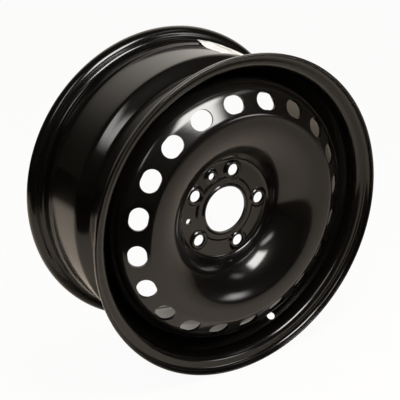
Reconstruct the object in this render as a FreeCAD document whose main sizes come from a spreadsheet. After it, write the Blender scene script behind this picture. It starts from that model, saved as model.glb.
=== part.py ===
import FreeCAD, Part
import Sketcher
import math
import os

# A pressed-steel car wheel: a rolled drop-centre rim, a pressed wheel disc and the welds that join them.
# The wheel stands upright. Its spin axis is Y, its outboard face looks towards -Y, +Z is up, and the origin
# is on the axis midway between the two rim flanges. All lengths are millimetres and all angles are degrees.

SIZES = {
    # Rolled rim, measured on the tyre side of the sheet. Its radii follow from the bead seat's.
    "rim_gauge": 2.6,
    "rim_half_width": 88.9,
    "heel_radius": 202.8,
    "heel_bend": 6.5,
    "flange_straight": 1.3,
    "lip_bend": 9.5,
    "lip_reach": 12.5,
    "lip_edge_round": 1.0,
    "toe_fall": 1.6,
    "toe_setback": 15.7,
    "toe_bend": 6.0,
    "hump_rise": 1.4,
    "hump_width": 5.0,
    "hump_ease": 2.0,
    "hump_foot_width": 5.7,
    "well_drop": 17.4,
    "well_slope_run": 23.0,
    "well_back_reach": 21.0,
    "well_bend": 8.0,
    "leg_drop": 2.4,
    "leg_front_reach": 6.0,
    "leg_bend": 9.0,
    # Valve hole, square to the slope between the front bead seat and the well.
    "valve_hole_radius": 5.75,
    "valve_angle": 292.5,
    "valve_run": 7.2,
    "valve_sink": 1.7,
    # Pressed disc, measured on its outboard face. Depths are behind the front lip's crest. The four runs from
    # the pad's edge to the flange share out the disc's width, so they follow the rim.
    "disc_gauge": 4.0,
    "crest_reach": 99.25,
    "bore_radius": 32.55,
    "bore_edge_round": 0.6,
    "collar_width": 10.65,
    "collar_rise": 1.6,
    "collar_slope": 3.4,
    "collar_bend": 5.2,
    "pad_depth": 50.8,
    "pad_edge": 66.5,
    "pad_bend": 6.0,
    "knee_run": 13.5,
    "knee_rise": 11.55,
    "knee_bend": 25.0,
    "wall_run": 28.5,
    "crown_depth": 1.65,
    "crown_run": 34.7,
    "crown_rest": 5.88,
    "crown_outer_bend": 12.0,
    "slope_run": 39.6,
    "flange_top_depth": 24.15,
    "flange_bend": 34.0,
    "flange_end_depth": 71.75,
    # Wheel-bolt seats.
    "lug_count": 5,
    "lug_circle_radius": 55.0,
    "lug_angle": 77.1,
    "lug_hole_radius": 7.9,
    "lug_seat_width": 0.9,
    "lug_boss_land": 1.0,
    "lug_boss_slope": 3.1,
    "lug_boss_rise": 3.0,
    "lug_dish_depth": 2.0,
    # Two small holes between the wheel bolts.
    "pin_hole_radius": 5.0,
    "pin_ring_radius": 55.0,
    "pin_angle": 113.1,
    "pin_boss_land": 1.6,
    "pin_boss_slope": 2.2,
    "pin_boss_rise": 2.0,
    "drain_hole_radius": 4.0,
    "drain_ring_radius": 57.0,
    "drain_angle": 186.0,
    # Oval vents round the outer slope of the disc.
    "vent_count": 20,
    "vent_run": 14.8,
    "vent_angle": 77.34,
    "vent_width": 24.0,
    "vent_straight": 6.0,
    # Fillet welds between the disc's flange and the well.
    "weld_count": 8,
    "weld_arc": 26.0,
    "weld_leg_rim": 3.0,
    "weld_leg_disc": 3.2,
}

# Sizes that follow from the ones above.
DERIVED = {
    "lip_radius": "heel_radius + heel_bend + flange_straight + lip_bend",
    "toe_radius": "heel_radius - toe_fall",
    "hump_radius": "toe_radius + hump_rise",
    "hump_bend": "hump_width + hump_ease",
    "hump_setback": "toe_setback + hump_width",
    "hump_foot_setback": "hump_setback + hump_foot_width",
    "well_radius": "heel_radius - well_drop",
    "well_front_reach": "rim_half_width - hump_setback - well_slope_run",
    "leg_radius": "heel_radius - leg_drop",
    "valve_reach": "rim_half_width - hump_setback - valve_run",
    "valve_fall": "valve_run * (hump_radius - well_radius) / well_slope_run",
    "valve_ring_radius": "hump_radius - valve_fall - valve_sink",
    "collar_radius": "bore_radius + collar_width",
    "collar_foot": "collar_radius + collar_slope",
    "flange_radius": "well_radius - rim_gauge",
    "disc_share": "(flange_radius - pad_edge) / (knee_run + wall_run + crown_run + slope_run)",
    "knee_radius": "pad_edge + knee_run * disc_share",
    "knee_depth": "pad_depth - knee_rise",
    "crown_inner": "knee_radius + wall_run * disc_share",
    "crown_outer": "crown_inner + crown_run * disc_share",
    "wall_slope": "atan((knee_depth - crown_depth) / (crown_inner - knee_radius))",
    "crown_inner_bend": "(crown_outer - crown_inner - crown_rest) / tan(wall_slope / 2)",
    "lug_seat_radius": "lug_hole_radius + lug_seat_width",
    "lug_boss_top": "lug_seat_radius + lug_boss_land",
    "lug_boss_foot": "lug_boss_top + lug_boss_slope",
    "pin_boss_top": "pin_hole_radius + pin_boss_land",
    "pin_boss_foot": "pin_boss_top + pin_boss_slope",
    "vent_ring_radius": "crown_outer + vent_run * disc_share",
    "vent_length": "vent_width + vent_straight",
}

doc = FreeCAD.newDocument("SteelWheel")
sheet = doc.addObject("Spreadsheet::Sheet", "Sizes")
entries = [(name, str(value)) for name, value in SIZES.items()]
entries += [(name, "=" + rule) for name, rule in DERIVED.items()]
for row, (name, content) in enumerate(entries, start=1):
    sheet.set("A%d" % row, name)
    sheet.set("B%d" % row, content)
    sheet.setAlias("B%d" % row, name)
doc.recompute()


def size(name):
    """One number from the sheet."""
    return float(sheet.get(name))


def signed(term):
    """A term such as -lip_reach, as its sign and its name."""
    if term.startswith("-"):
        return -1, term[1:]
    return 1, term


def amount(terms):
    """The sum of the signed sheet names in a text such as 'heel_radius -rim_gauge'."""
    total = 0.0
    for term in terms.split():
        sign, name = signed(term)
        total += sign * size(name)
    return total


def formula(terms):
    """The same sum as an expression on the sheet."""
    text = ""
    for term in terms.split():
        sign, name = signed(term)
        text += (" - " if sign < 0 else " + ") + "Sizes." + name
    return text.strip().lstrip("+").strip()


def bind(sketch, constraint, terms):
    """Add a dimension to a sketch and tie it to the sheet."""
    index = sketch.addConstraint(constraint)
    sketch.setExpression("Constraints[%d]" % index, formula(terms))


def new_body(name):
    body = doc.addObject("PartDesign::Body", name)
    body.Label = name
    return body


def origin_part(body, role):
    for feature in body.Origin.OriginFeatures:
        if feature.Role == role:
            return feature
    raise ValueError("no origin feature " + role)


def arc_between(start, end, centre, left_turn):
    """The short arc of a bend, and which of its ends (1 or 2) lies at the start of the bend."""
    first, last = (start, end) if left_turn else (end, start)
    circle = Part.Circle(centre, FreeCAD.Vector(0, 0, 1), (start - centre).Length)
    angle_first = math.atan2(first.y - centre.y, first.x - centre.x)
    angle_last = math.atan2(last.y - centre.y, last.x - centre.x)
    if angle_last < angle_first:
        angle_last += 2 * math.pi
    arc = Part.ArcOfCircle(circle, angle_first, angle_last)
    return arc, (1 if left_turn else 2)


def bent_sheet(sketch, corners, gauge, side):
    """Draw the section of a bent sheet: a line with rounded corners on its measured face, the same line one
    gauge away on the other face, and a square edge at each end. Each corner is (radius from the axis, place
    along the axis, bend radius), all as terms of the sheet. side is 1 where the other face lies to the left
    of the line."""
    points = [FreeCAD.Vector(amount(x), amount(y), 0) for x, y, bend in corners]
    thick = size(gauge)
    last = len(points) - 1
    along = [(points[i + 1] - points[i]).normalize() for i in range(last)]
    across = [FreeCAD.Vector(-d.y, d.x, 0) * side for d in along]
    starts = [points[0]]
    ends = []
    far_starts = [points[0] + across[0] * thick]
    far_ends = []
    bends = []
    for i in range(1, last):
        back = along[i - 1] * -1
        ahead = along[i]
        half = back.getAngle(ahead) / 2
        radius = amount(corners[i][2])
        reach = radius / math.tan(half)
        centre = points[i] + (back + ahead).normalize() * (radius / math.sin(half))
        left_turn = along[i - 1].cross(ahead).z > 0
        bend_in = points[i] + back * reach
        bend_out = points[i] + ahead * reach
        far_in = bend_in + across[i - 1] * thick
        far_out = bend_out + across[i] * thick
        ends.append(bend_in)
        starts.append(bend_out)
        far_ends.append(far_in)
        far_starts.append(far_out)
        bends.append((bend_in, bend_out, far_in, far_out, centre, left_turn))
    ends.append(points[last])
    far_ends.append(points[last] + across[last - 1] * thick)

    near_lines = [sketch.addGeometry(Part.LineSegment(a, b)) for a, b in zip(starts, ends)]
    far_lines = [sketch.addGeometry(Part.LineSegment(a, b)) for a, b in zip(far_starts, far_ends)]
    corner_points = [sketch.addGeometry(Part.Point(p), True) for p in points]
    near_arcs = []
    far_arcs = []
    for bend_in, bend_out, far_in, far_out, centre, left_turn in bends:
        arc, head = arc_between(bend_in, bend_out, centre, left_turn)
        near_arcs.append((sketch.addGeometry(arc), head))
        arc, head = arc_between(far_in, far_out, centre, left_turn)
        far_arcs.append((sketch.addGeometry(arc), head))
    first_edge = sketch.addGeometry(Part.LineSegment(starts[0], far_starts[0]))
    last_edge = sketch.addGeometry(Part.LineSegment(ends[-1], far_ends[-1]))

    links = []
    for i, (arc, head) in enumerate(near_arcs):
        links.append(Sketcher.Constraint("Tangent", near_lines[i], 2, arc, head))
        links.append(Sketcher.Constraint("Tangent", arc, 3 - head, near_lines[i + 1], 1))
        links.append(Sketcher.Constraint("PointOnObject", corner_points[i + 1], 1, near_lines[i]))
        links.append(Sketcher.Constraint("PointOnObject", corner_points[i + 1], 1, near_lines[i + 1]))
    links.append(Sketcher.Constraint("Coincident", corner_points[0], 1, near_lines[0], 1))
    links.append(Sketcher.Constraint("Coincident", corner_points[last], 1, near_lines[-1], 2))
    links.append(Sketcher.Constraint("Parallel", far_lines[0], near_lines[0]))
    for i, (arc, head) in enumerate(far_arcs):
        links.append(Sketcher.Constraint("Coincident", arc, 3, near_arcs[i][0], 3))
        links.append(Sketcher.Constraint("Tangent", far_lines[i], 2, arc, head))
        links.append(Sketcher.Constraint("Tangent", arc, 3 - head, far_lines[i + 1], 1))
        links.append(Sketcher.Constraint("Parallel", far_lines[i + 1], near_lines[i + 1]))
    for edge, end, near, far in ((first_edge, 1, near_lines[0], far_lines[0]),
                                 (last_edge, 2, near_lines[-1], far_lines[-1])):
        links.append(Sketcher.Constraint("Coincident", edge, 1, near, end))
        links.append(Sketcher.Constraint("Coincident", edge, 2, far, end))
        links.append(Sketcher.Constraint("Perpendicular", edge, near))
    sketch.addConstraint(links)
    for point, spec in zip(corner_points, corners):
        bind(sketch, Sketcher.Constraint("DistanceX", -1, 1, point, 1, amount(spec[0])), spec[0])
        bind(sketch, Sketcher.Constraint("DistanceY", -1, 1, point, 1, amount(spec[1])), spec[1])
    for i, (arc, head) in enumerate(near_arcs):
        bend = corners[i + 1][2]
        bind(sketch, Sketcher.Constraint("Radius", arc, amount(bend)), bend)
    bind(sketch, Sketcher.Constraint("Distance", far_lines[0], 1, near_lines[0], thick), gauge)


def section_sketch(body, name):
    sketch = body.newObject("Sketcher::SketchObject", name)
    sketch.AttachmentSupport = [(origin_part(body, "XY_Plane"), "")]
    sketch.MapMode = "FlatFace"
    return sketch


def spin(body, sketch, name):
    """Turn a section right round the wheel's axis."""
    turned = body.newObject("PartDesign::Revolution", name)
    turned.Profile = sketch
    turned.ReferenceAxis = (sketch, ["V_Axis"])
    turned.Angle = 360
    doc.recompute()
    return turned


def around(body, features, name, count):
    """Repeat features round the wheel's axis."""
    pattern = body.newObject("PartDesign::PolarPattern", name)
    pattern.Originals = features
    pattern.Axis = (origin_part(body, "Y_Axis"), [""])
    pattern.Angle = 360
    pattern.setExpression("Occurrences", "Sizes." + count)
    body.Tip = pattern
    doc.recompute()
    return pattern


def round_edges(body, base, name, chosen, radius):
    """Round the chosen edges of a feature."""
    names = ["Edge%d" % (i + 1) for i, edge in enumerate(base.Shape.Edges) if chosen(edge)]
    if not names:
        raise ValueError("no edge to round for " + name)
    rounded = body.newObject("PartDesign::Fillet", name)
    rounded.Base = (base, names)
    rounded.setExpression("Radius", "Sizes." + radius)
    body.Tip = rounded
    doc.recompute()
    return rounded


def facing_out(body, kind, name, ring, angle, depth, sizes):
    """A round feature whose axis is parallel to the wheel's and which grows towards the outboard side. Its
    foot is at the given depth, on a ring and at an angle about the wheel's axis."""
    feature = body.newObject("PartDesign::" + kind, name)
    for key, terms in sizes.items():
        feature.setExpression(key, formula(terms))
    turn = FreeCAD.Rotation(FreeCAD.Vector(1, 0, 0), 90)
    feature.Placement = FreeCAD.Placement(FreeCAD.Vector(0, 0, 0), turn)
    feature.setExpression("Placement.Base.x", "Sizes.%s * cos(Sizes.%s)" % (ring, angle))
    feature.setExpression("Placement.Base.z", "Sizes.%s * sin(Sizes.%s)" % (ring, angle))
    feature.setExpression("Placement.Base.y", formula("-crest_reach " + depth))
    body.Tip = feature
    doc.recompute()
    return feature


def cross_sketch(body, name, ring, angle, along, tilt):
    """A sketch square to the disc or rim sheet, at a place along the axis given as an expression. Its X runs
    round the wheel, and its normal leans by tilt from the outboard direction towards the wheel's outside."""
    theta = math.radians(size(angle))
    lean = math.radians(tilt)
    radial = FreeCAD.Vector(math.cos(theta), 0, math.sin(theta))
    tangent = FreeCAD.Vector(-math.sin(theta), 0, math.cos(theta))
    outward = FreeCAD.Vector(0, -math.cos(lean), 0) + radial * math.sin(lean)
    turn = FreeCAD.Rotation(tangent, outward.cross(tangent), outward, "ZXY")
    sketch = body.newObject("Sketcher::SketchObject", name)
    sketch.Placement = FreeCAD.Placement(FreeCAD.Vector(0, 0, 0), turn)
    sketch.setExpression("Placement.Base.x", "Sizes.%s * cos(Sizes.%s)" % (ring, angle))
    sketch.setExpression("Placement.Base.y", along)
    sketch.setExpression("Placement.Base.z", "Sizes.%s * sin(Sizes.%s)" % (ring, angle))
    return sketch


def pierce(body, sketch, name, gauge):
    """Cut a sketch right through a sheet, three gauges to each side of it."""
    cut = body.newObject("PartDesign::Pocket", name)
    cut.Profile = sketch
    cut.SideType = "Symmetric"
    cut.setExpression("Length", "Sizes.%s * 6" % gauge)
    body.Tip = cut
    doc.recompute()
    return cut


# The rim is one strip rolled to section: flange, bead seat, hump, slope, well, wall, long leg, hump, bead
# seat and flange.
RIM_LINE = [
    ("lip_radius", "-rim_half_width -lip_reach", ""),
    ("lip_radius", "-rim_half_width", "lip_bend"),
    ("heel_radius", "-rim_half_width", "heel_bend"),
    ("toe_radius", "-rim_half_width toe_setback", "toe_bend"),
    ("hump_radius", "-rim_half_width hump_setback", "hump_bend"),
    ("well_radius", "-well_front_reach", "well_bend"),
    ("well_radius", "-well_back_reach", "well_bend"),
    ("leg_radius", "-leg_front_reach", "leg_bend"),
    ("leg_radius", "rim_half_width -hump_foot_setback", "toe_bend"),
    ("hump_radius", "rim_half_width -hump_setback", "hump_bend"),
    ("toe_radius", "rim_half_width -toe_setback", "toe_bend"),
    ("heel_radius", "rim_half_width", "heel_bend"),
    ("lip_radius", "rim_half_width", "lip_bend"),
    ("lip_radius", "rim_half_width lip_reach", ""),
]

rim = new_body("rim")
rim_section = section_sketch(rim, "RimSection")
bent_sheet(rim_section, RIM_LINE, "rim_gauge", 1)
rim_strip = spin(rim, rim_section, "RimStrip")

lip_end = size("rim_half_width") + size("lip_reach")


def on_lip_edge(edge):
    box = edge.BoundBox
    return box.YLength < 0.01 and abs(abs(box.YMin) - lip_end) < 0.01


rim_rounded = round_edges(rim, rim_strip, "LipEdges", on_lip_edge, "lip_edge_round")
slope_fall = size("hump_radius") - size("well_radius")
slope_tilt = 180 - math.degrees(math.atan2(size("well_slope_run"), slope_fall))
valve_along = formula("-valve_reach")
valve_sketch = cross_sketch(rim, "ValveSketch", "valve_ring_radius", "valve_angle", valve_along, slope_tilt)
origin = FreeCAD.Vector(0, 0, 0)
upright = FreeCAD.Vector(0, 0, 1)
ring = valve_sketch.addGeometry(Part.Circle(origin, upright, size("valve_hole_radius")))
valve_sketch.addConstraint(Sketcher.Constraint("Coincident", ring, 3, -1, 1))
bind(valve_sketch, Sketcher.Constraint("Radius", ring, size("valve_hole_radius")), "valve_hole_radius")
doc.recompute()
before_valve = rim_rounded.Shape.Volume
valve_hole = pierce(rim, valve_sketch, "ValveHole", "rim_gauge")

# The disc is one blank pressed to a bowl: collar round the centre bore, flat bolting pads, wall, crown, vent
# slope and a flange that fits inside the well.
DISC_LINE = [
    ("bore_radius", "-crest_reach pad_depth -collar_rise", ""),
    ("collar_radius", "-crest_reach pad_depth -collar_rise", "collar_bend"),
    ("collar_foot", "-crest_reach pad_depth", "collar_bend"),
    ("pad_edge", "-crest_reach pad_depth", "pad_bend"),
    ("knee_radius", "-crest_reach knee_depth", "knee_bend"),
    ("crown_inner", "-crest_reach crown_depth", "crown_inner_bend"),
    ("crown_outer", "-crest_reach crown_depth", "crown_outer_bend"),
    ("flange_radius", "-crest_reach flange_top_depth", "flange_bend"),
    ("flange_radius", "-crest_reach flange_end_depth", ""),
]

disc = new_body("wheel_disc")
disc_section = section_sketch(disc, "DiscSection")
bent_sheet(disc_section, DISC_LINE, "disc_gauge", 1)
disc_blank = spin(disc, disc_section, "DiscBlank")


def on_bore_edge(edge):
    box = edge.BoundBox
    return box.YLength < 0.01 and abs(box.XLength / 2 - size("bore_radius")) < 0.01


disc_rounded = round_edges(disc, disc_blank, "BoreEdges", on_bore_edge, "bore_edge_round")

# The vents lie on the straight slope between the crown and the flange, and look square out of it.
vent_fall = "(Sizes.flange_top_depth - Sizes.crown_depth)"
slope_width = "(Sizes.flange_radius - Sizes.crown_outer)"
vent_step = "(Sizes.vent_ring_radius - Sizes.crown_outer)"
vent_along = "%s + %s * %s / %s" % (formula("-crest_reach crown_depth"), vent_step, vent_fall, slope_width)
vent_tilt = math.degrees(math.atan2(amount("flange_top_depth -crown_depth"),
                                    amount("flange_radius -crown_outer")))
vent_sketch = cross_sketch(disc, "VentSketch", "vent_ring_radius", "vent_angle", vent_along, vent_tilt)
end_radius = size("vent_width") / 2
half_run = (size("vent_length") - size("vent_width")) / 2
right_end = FreeCAD.Vector(half_run, 0, 0)
left_end = FreeCAD.Vector(-half_run, 0, 0)
lift = FreeCAD.Vector(0, end_radius, 0)
quarter = math.pi / 2
right_circle = Part.Circle(right_end, upright, end_radius)
left_circle = Part.Circle(left_end, upright, end_radius)
right_arc = vent_sketch.addGeometry(Part.ArcOfCircle(right_circle, -quarter, quarter))
left_arc = vent_sketch.addGeometry(Part.ArcOfCircle(left_circle, quarter, 3 * quarter))
top_side = vent_sketch.addGeometry(Part.LineSegment(right_end + lift, left_end + lift))
low_side = vent_sketch.addGeometry(Part.LineSegment(left_end - lift, right_end - lift))
vent_sketch.addConstraint([
    Sketcher.Constraint("Tangent", right_arc, 2, top_side, 1),
    Sketcher.Constraint("Tangent", top_side, 2, left_arc, 1),
    Sketcher.Constraint("Tangent", left_arc, 2, low_side, 1),
    Sketcher.Constraint("Tangent", low_side, 2, right_arc, 1),
    Sketcher.Constraint("Symmetric", right_arc, 3, left_arc, 3, -1, 1),
    Sketcher.Constraint("Horizontal", top_side),
])
index = vent_sketch.addConstraint(Sketcher.Constraint("Radius", right_arc, end_radius))
vent_sketch.setExpression("Constraints[%d]" % index, "Sizes.vent_width / 2")
index = vent_sketch.addConstraint(Sketcher.Constraint("DistanceX", left_arc, 3, right_arc, 3, 2 * half_run))
vent_sketch.setExpression("Constraints[%d]" % index, "Sizes.vent_length - Sizes.vent_width")
doc.recompute()
before_vents = disc_rounded.Shape.Volume
vent = pierce(disc, vent_sketch, "Vent", "disc_gauge")
one_vent = before_vents - vent.Shape.Volume
around(disc, [vent], "Vents", "vent_count")

# Each bolt seat is pressed up from the pad: a low boss in front, a matching dish behind, a hole and a conical
# seat.
lug_boss = facing_out(disc, "AdditiveCone", "LugBoss", "lug_circle_radius", "lug_angle", "pad_depth",
                      {"Radius1": "lug_boss_foot", "Radius2": "lug_boss_top", "Height": "lug_boss_rise"})
around(disc, [lug_boss], "LugBosses", "lug_count")
lug_dish = facing_out(disc, "SubtractiveCone", "LugDish", "lug_circle_radius", "lug_angle",
                      "pad_depth disc_gauge",
                      {"Radius1": "lug_boss_foot -lug_dish_depth", "Radius2": "lug_boss_top -lug_dish_depth",
                       "Height": "lug_dish_depth"})
around(disc, [lug_dish], "LugDishes", "lug_count")
lug_hole = facing_out(disc, "SubtractiveCylinder", "LugHole", "lug_circle_radius", "lug_angle",
                      "pad_depth disc_gauge", {"Radius": "lug_hole_radius",
                                               "Height": "disc_gauge lug_boss_rise lug_boss_rise"})
around(disc, [lug_hole], "LugHoles", "lug_count")
lug_seat = facing_out(disc, "SubtractiveCone", "LugSeat", "lug_circle_radius", "lug_angle",
                      "pad_depth -lug_boss_rise",
                      {"Radius1": "lug_hole_radius", "Radius2": "lug_seat_radius"})
lug_seat.setExpression("Height", "(Sizes.lug_seat_radius - Sizes.lug_hole_radius) * sqrt(3)")
lug_seat.setExpression("Placement.Base.y", "-Sizes.crest_reach + Sizes.pad_depth - Sizes.lug_boss_rise"
                       " + (Sizes.lug_seat_radius - Sizes.lug_hole_radius) * sqrt(3)")
doc.recompute()
around(disc, [lug_seat], "LugSeats", "lug_count")

pin_boss = facing_out(disc, "AdditiveCone", "PinBoss", "pin_ring_radius", "pin_angle", "pad_depth",
                      {"Radius1": "pin_boss_foot", "Radius2": "pin_boss_top", "Height": "pin_boss_rise"})
pin_hole = facing_out(disc, "SubtractiveCylinder", "PinHole", "pin_ring_radius", "pin_angle",
                      "pad_depth disc_gauge",
                      {"Radius": "pin_hole_radius", "Height": "disc_gauge pin_boss_rise pin_boss_rise"})
drain_hole = facing_out(disc, "SubtractiveCylinder", "DrainHole", "drain_ring_radius", "drain_angle",
                        "pad_depth disc_gauge",
                        {"Radius": "drain_hole_radius", "Height": "disc_gauge disc_gauge"})

# The welds are short fillet beads in the corner between the disc flange's edge and the well, evenly spaced.
beads = []
weld_corner_x = "flange_radius"
weld_corner_y = "-crest_reach flange_end_depth"
bead_section = doc.addObject("Sketcher::SketchObject", "BeadSection")
corner = FreeCAD.Vector(amount(weld_corner_x), amount(weld_corner_y), 0)
on_rim = corner + FreeCAD.Vector(0, size("weld_leg_rim"), 0)
on_disc = corner - FreeCAD.Vector(size("weld_leg_disc"), 0, 0)
sides = [bead_section.addGeometry(Part.LineSegment(a, b))
         for a, b in ((corner, on_rim), (on_rim, on_disc), (on_disc, corner))]
bead_section.addConstraint([
    Sketcher.Constraint("Coincident", sides[0], 2, sides[1], 1),
    Sketcher.Constraint("Coincident", sides[1], 2, sides[2], 1),
    Sketcher.Constraint("Coincident", sides[2], 2, sides[0], 1),
    Sketcher.Constraint("Vertical", sides[0]),
    Sketcher.Constraint("Horizontal", sides[2]),
])
bind(bead_section, Sketcher.Constraint("DistanceX", -1, 1, sides[0], 1, corner.x), weld_corner_x)
bind(bead_section, Sketcher.Constraint("DistanceY", -1, 1, sides[0], 1, corner.y), weld_corner_y)
leg_rim = Sketcher.Constraint("DistanceY", sides[0], 1, sides[0], 2, size("weld_leg_rim"))
leg_disc = Sketcher.Constraint("DistanceX", sides[2], 1, sides[2], 2, size("weld_leg_disc"))
bind(bead_section, leg_rim, "weld_leg_rim")
bind(bead_section, leg_disc, "weld_leg_disc")
doc.recompute()
for number in range(int(size("weld_count"))):
    bead = doc.addObject("Part::Revolution", "Bead%d" % (number + 1))
    bead.Source = bead_section
    bead.Axis = FreeCAD.Vector(0, 1, 0)
    bead.Base = FreeCAD.Vector(0, 0, 0)
    bead.Solid = True
    bead.setExpression("Angle", "Sizes.weld_arc")
    turn = number * 360.0 / size("weld_count")
    bead.Placement = FreeCAD.Placement(origin, FreeCAD.Rotation(FreeCAD.Vector(0, 1, 0), turn))
    beads.append(bead)
welds = doc.addObject("Part::Compound", "weld_beads")
welds.Label = "weld_beads"
welds.Links = beads
doc.recompute()

# Every cut must have taken metal away, and every piece must be sound, before anything is written.
if valve_hole.Shape.Volume > before_valve - 100:
    raise ValueError("the valve hole does not go through")
if one_vent < 1000:
    raise ValueError("the vent does not go through")
for item in doc.Objects:
    if "Invalid" in item.State or "Error" in item.State:
        raise ValueError("failed object: %s %s" % (item.Name, item.State))
pieces = {rim: 1, disc: 1, welds: int(size("weld_count"))}
for piece, solids in pieces.items():
    shape = piece.Shape
    if shape.isNull() or not shape.isValid():
        raise ValueError("bad shape: " + piece.Label)
    if len(shape.Solids) != solids:
        raise ValueError("%s has %d solids" % (piece.Label, len(shape.Solids)))

os.makedirs("parts", exist_ok=True)
for piece in pieces:
    piece.Shape.exportStep(os.path.join("parts", piece.Label + ".step"))
    box = piece.Shape.BoundBox
    print("%s: %.0f mm3, %.1f x %.1f x %.1f mm" % (piece.Label, piece.Shape.Volume, box.XLength, box.YLength,
                                                   box.ZLength))
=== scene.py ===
import math

import bmesh
import bpy
from mathutils import Matrix, Vector


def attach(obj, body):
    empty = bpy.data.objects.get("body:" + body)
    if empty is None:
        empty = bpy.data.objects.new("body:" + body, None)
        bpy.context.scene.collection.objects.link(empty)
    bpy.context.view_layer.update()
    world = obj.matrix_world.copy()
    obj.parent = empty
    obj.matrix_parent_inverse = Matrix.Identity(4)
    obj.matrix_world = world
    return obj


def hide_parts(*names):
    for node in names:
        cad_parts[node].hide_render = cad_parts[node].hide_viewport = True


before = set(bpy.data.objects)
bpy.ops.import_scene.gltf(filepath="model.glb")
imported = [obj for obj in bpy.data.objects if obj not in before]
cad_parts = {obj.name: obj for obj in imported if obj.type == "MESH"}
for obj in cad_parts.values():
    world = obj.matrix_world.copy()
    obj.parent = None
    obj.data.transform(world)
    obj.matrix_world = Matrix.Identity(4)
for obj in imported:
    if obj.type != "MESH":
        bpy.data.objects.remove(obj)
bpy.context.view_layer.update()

bl_info = {
    "name": "Pressed-steel car wheel",
    "version": (1, 0, 0),
    "blender": (4, 5, 0),
    "location": "View3D > Sidebar > Wheel",
    "description": "Builds the rolled rim, the pressed disc, their welds and a studio stage",
    "category": "Object",
}

AXLE = Vector((0.0, 1.0, 0.0))
OUTBOARD = Vector((0.0, -1.0, 0.0))
CENTRE = Vector((0.0, 0.0, 0.0))
FULL_TURN = 2 * math.pi
WHITE = (1.0, 1.0, 1.0, 1.0)

# Distances in metres under which two points count as one.
MERGE_REACH = 1e-6
SAME_PLACE = 1e-5

# Steps of the meshes: along the straight runs and the bends of a section, and round the wheel and its holes.
BEND_TURN = math.radians(9)
LEAST_BEND_STEPS = 3
RIM_RUN_STEP = 0.008
RIM_BEND_STEP = 0.0013
DISC_RUN_STEP = 0.0011
DISC_BEND_STEP = 0.0024
WHOLE_RUN = 1.0
WHEEL_SEGMENTS = 300
HOLE_SEGMENTS = 48
VENT_SEGMENTS = 64
LABEL_CELLS = (60, 30)

# Edges that turn by more than these angles stay sharp.
RIM_SHARP = math.radians(40)
DISC_SHARP = math.radians(35)
WELD_SHARP = math.radians(50)
LABEL_SHARP = math.radians(40)

# Rounding of the lips' cut edges: the least turn of an edge that gets it, and its steps.
LIP_EDGE_TURN = math.radians(60)
LIP_EDGE_STEPS = 3

# Lengths of the cutters in metres, and how far a cutter stands clear of the sheet.
VALVE_CUT = 0.012
VENT_CUT = 0.03
HOLE_CUT = 0.014
CUT_CLEAR = 0.002

# A bolt seat is a cone 60 degrees across: its fall for each unit that it narrows.
SEAT_FALL = math.sqrt(3)

# Places on the long leg and on the pads that tell which way a sheet's face looks.
LEG_PROBE = 0.03
PAD_PROBE_SHARE = 0.85
PAD_PROBE_TURN = 0.3

# A weld bead: the bulge of its face, the steps across and along it, and its ripples in a full turn.
WELD_SWELL = 0.0007
WELD_FACE_STEPS = 6
WELD_SEGMENTS = 90
WELD_RIPPLES = 420.0

# Height of the label's outer face over the leg, in thicknesses of its paper.
LABEL_HEIGHT = 1.5

# The paint: bending of light in it and in its gloss, strength of its sheen, and its fine waves.
PAINT_IOR = 1.5
PAINT_SHEEN = 0.09
GLOSS_IOR = 1.45
PEEL_SCALE = 420.0
PEEL_DETAIL = 1.0
PEEL_DEPTH = 0.0004

# The paper: its roughness, and the run, detail, painted-shade tones and depth of its creases.
PAPER_ROUGHNESS = 0.55
CREASE_RUN = (1.0, 0.3, 1.0)
CREASE_DETAIL = 2.0
CREASE_TWIST = 0.6
# Crease noise values from full painted shade in the hollows to none.
CREASE_FULL_SHADE = 0.32
CREASE_NO_SHADE = 0.62
CREASE_STRENGTH = 0.7
CREASE_DEPTH = 0.0025

# The floor: from its middle to its sides, the two ends of its reflection with the painted dark that
# reflections find beyond them, and the white that is seen of it.
FLOOR_REACH = 8.0
FLOOR_ROUGHNESS = 0.9
# Painted reflection: the dark that glossy rays see on the floor beyond its two edges, where the floor is
# still lit pale.
FLOOR_REFLECTED_DARK = (0.015, 0.014, 0.012, 1.0)
FLOOR_EDGE_SOFT = 0.03
FLOOR_BACK_SOFT = 0.16
FLOOR_BACK_WAY = (-0.62, 0.785, 0.0)
FLOOR_WHITE = 0.95

# The lighter wall: the way to it, and how closely a direction follows that way where it starts and is full.
WALL_WAY = (0.6, 0.775, 0.2)
WALL_START = 0.4
WALL_FULL = 0.98

# The camera: its sensor in millimetres, and how near and how far it sees in metres.
SENSOR_WIDTH = 36.0
NEAREST_SEEN = 0.05
FARTHEST_SEEN = 50.0


def length(name, default, description):
    """A length in metres."""
    return bpy.props.FloatProperty(name=name, default=default, description=description, unit="LENGTH",
                                   subtype="DISTANCE", precision=5)


def angle(name, default, description):
    """An angle, written here in degrees."""
    return bpy.props.FloatProperty(name=name, default=math.radians(default), description=description,
                                   unit="ROTATION", subtype="ANGLE")


def colour(name, default, description):
    """A colour as red, green and blue."""
    return bpy.props.FloatVectorProperty(name=name, default=default, description=description,
                                         subtype="COLOR", size=3, min=0.0, max=1.0)


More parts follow.
